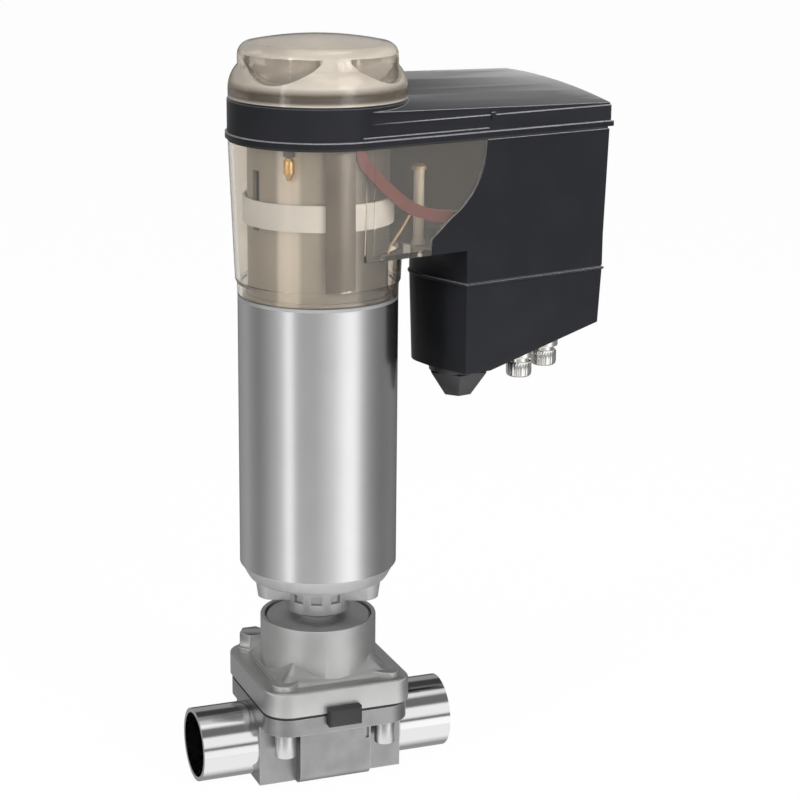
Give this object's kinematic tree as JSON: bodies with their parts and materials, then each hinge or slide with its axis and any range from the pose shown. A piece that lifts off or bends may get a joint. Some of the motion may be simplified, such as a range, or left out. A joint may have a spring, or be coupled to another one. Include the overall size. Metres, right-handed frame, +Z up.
{
  "type": "motorized diaphragm valve",
  "caption": "Stainless weld-end diaphragm valve with an electric actuator, clear indicator housing and side terminal box.",
  "frame": {"origin": "centre of the inlet's weld end, on the pipe's axis", "axes": "+X along the pipe from inlet to outlet, +Z up the spindle"},
  "size_m": [0.1981, 0.1087, 0.3377],
  "materials": {
    "body_steel": "polished",
    "bonnet_steel": "blasted",
    "screw_steel": "bright",
    "diaphragm_rubber": "satin",
    "spindle_steel": "turned",
    "bush_bronze": "turned",
    "seal_rubber": "satin",
    "base_alloy": "matt",
    "union_steel": "dull",
    "tube_steel": "satin",
    "gear_plastic": "matt",
    "sleeve_plastic": "satin",
    "band_white": "satin",
    "clear_plastic": "clear",
    "guide_plastic": "gloss",
    "lamp_brass": "bright",
    "post_plastic": "satin",
    "screw_tan": "dull",
    "board_green": "satin",
    "chip_black": "matt",
    "cable_red": "satin",
    "wire_tan": "satin",
    "black_plastic": "satin",
    "cap_plastic": "clear",
    "terminal_plastic": "matt",
    "gland_plastic": "satin",
    "socket_nickel": "bright"
  },
  "bodies": {
    "valve": {"valve_body": "body_steel", "bonnet": "bonnet_steel", "flange_screws": "screw_steel", "flange_washers": "screw_steel", "flange_nuts": "screw_steel", "diaphragm": "diaphragm_rubber", "guide_bush": "bush_bronze", "spindle_seal": "seal_rubber", "actuator_base": "base_alloy", "union_nut": "union_steel", "steel_tube": "tube_steel", "lower_tube_seal": "seal_rubber", "upper_tube_seal": "seal_rubber", "lower_thrust_bearing": "spindle_steel", "upper_thrust_bearing": "spindle_steel", "gear_plate": "base_alloy", "gear_posts": "base_alloy", "tie_rods": "spindle_steel", "tie_rod_nuts": "screw_steel", "motor_case": "spindle_steel", "head_plate": "base_alloy", "indicator_sleeve": "sleeve_plastic", "clear_housing": "clear_plastic", "light_guide": "guide_plastic", "lamp_grommet": "seal_rubber", "status_lamp": "lamp_brass", "arm_post": "post_plastic", "post_screw": "screw_tan", "control_board": "board_green", "board_parts": "chip_black", "ribbon_cable": "cable_red", "sensor_wire": "wire_tan", "cover_seal": "seal_rubber", "top_cover": "black_plastic", "lid_clip": "black_plastic", "box_shell": "black_plastic", "box_seal": "seal_rubber", "box_tray": "black_plastic", "terminal_board": "board_green", "board_posts": "post_plastic", "terminal_blocks": "terminal_plastic", "gland_body": "gland_plastic", "gland_insert": "seal_rubber", "power_socket": "socket_nickel", "signal_socket": "socket_nickel", "power_contacts": "chip_black", "signal_contacts": "chip_black"},
    "stem": {"diaphragm_stud": "screw_steel", "compressor": "spindle_steel", "spindle": "spindle_steel", "indicator_rod": "spindle_steel", "indicator_spider": "gear_plastic", "indicator_band": "band_white"},
    "drive": {"drive_nut": "bush_bronze", "gear_wheel": "gear_plastic"},
    "motor": {"motor_pinion": "bush_bronze", "motor_shaft": "spindle_steel"},
    "cap": {"top_cap": "cap_plastic"},
    "gland": {"gland_nut": "gland_plastic"}
  },
  "joints": [
    {"name": "stem_lift", "type": "slide", "parent": "valve", "child": "stem", "axis": [0, 0, 1], "range_m": [0, 0.01], "deforming": ["diaphragm"]},
    {"name": "drive_turn", "type": "hinge", "parent": "valve", "child": "drive", "pos_m": [0.06, 0, 0.1], "axis": [0, 0, 1], "range_deg": [-5, 905]},
    {"name": "motor_turn", "type": "hinge", "parent": "valve", "child": "motor", "pos_m": [0.08514, 0, 0.1], "axis": [0, 0, 1], "range_deg": [-3320, 15]},
    {"name": "cap_turn", "type": "hinge", "parent": "valve", "child": "cap", "pos_m": [0.06, 0, 0.295], "axis": [0, 0, 1], "range_deg": [0, 45]},
    {"name": "gland_turn", "type": "hinge", "parent": "valve", "child": "gland", "pos_m": [0.12768, -0.00024, 0.1704], "axis": [0, 0, 1], "range_deg": [0, 360]}
  ],
  "couplings": [
    {"joint": "drive_turn", "follows": "stem_lift", "rad_per_m": 1570.8},
    {"joint": "motor_turn", "follows": "stem_lift", "rad_per_m": -5759.6}
  ]
}
